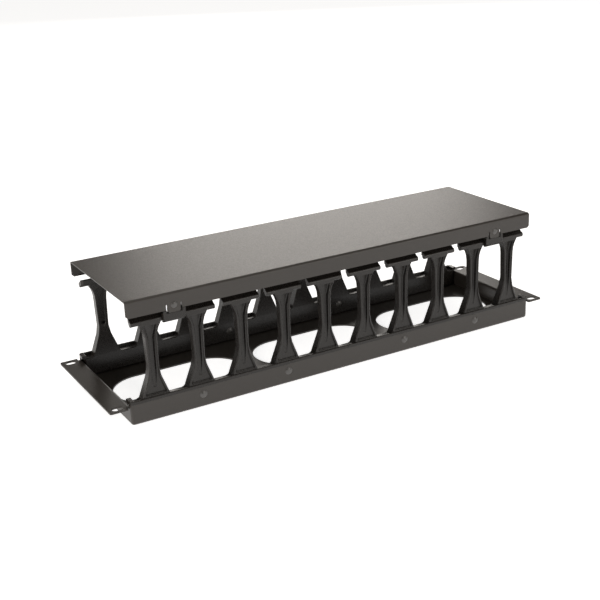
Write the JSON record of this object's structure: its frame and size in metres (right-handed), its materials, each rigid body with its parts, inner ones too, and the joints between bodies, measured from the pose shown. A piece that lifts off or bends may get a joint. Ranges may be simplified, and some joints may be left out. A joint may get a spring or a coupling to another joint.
{
  "type": "horizontal cable manager",
  "caption": "Rack panel: a folded steel tray with rows of moulded plastic fingers along both long sides and a clip-on hinged steel cover over the cable channel.",
  "frame": {"origin": "middle of the tray in X and Y, at the underside of its floor", "axes": "+X along the rack width, +Z from the tray's floor towards the cover, +Y towards the cover's hinge side"},
  "size_m": [0.4826, 0.138, 0.1148],
  "materials": {
    "powder_coat": "satin",
    "black_plastic": "satin",
    "rivet_metal": "satin"
  },
  "bodies": {
    "base": {"tray": "powder_coat", "comb_front_left": "black_plastic", "comb_front_right": "black_plastic", "comb_rear_left": "black_plastic", "comb_rear_right": "black_plastic", "comb_rivets": "rivet_metal"},
    "lid": {"cover": "powder_coat", "clip_front_left": "black_plastic", "clip_front_right": "black_plastic", "clip_rear_left": "black_plastic", "clip_rear_right": "black_plastic", "clip_rivets": "rivet_metal"}
  },
  "joints": [
    {"name": "cover_hinge", "type": "hinge", "parent": "base", "child": "lid", "pos_m": [0, 0.0622, 0.0919], "axis": [-1, 0, 0], "range_deg": [0, 110]}
  ]
}
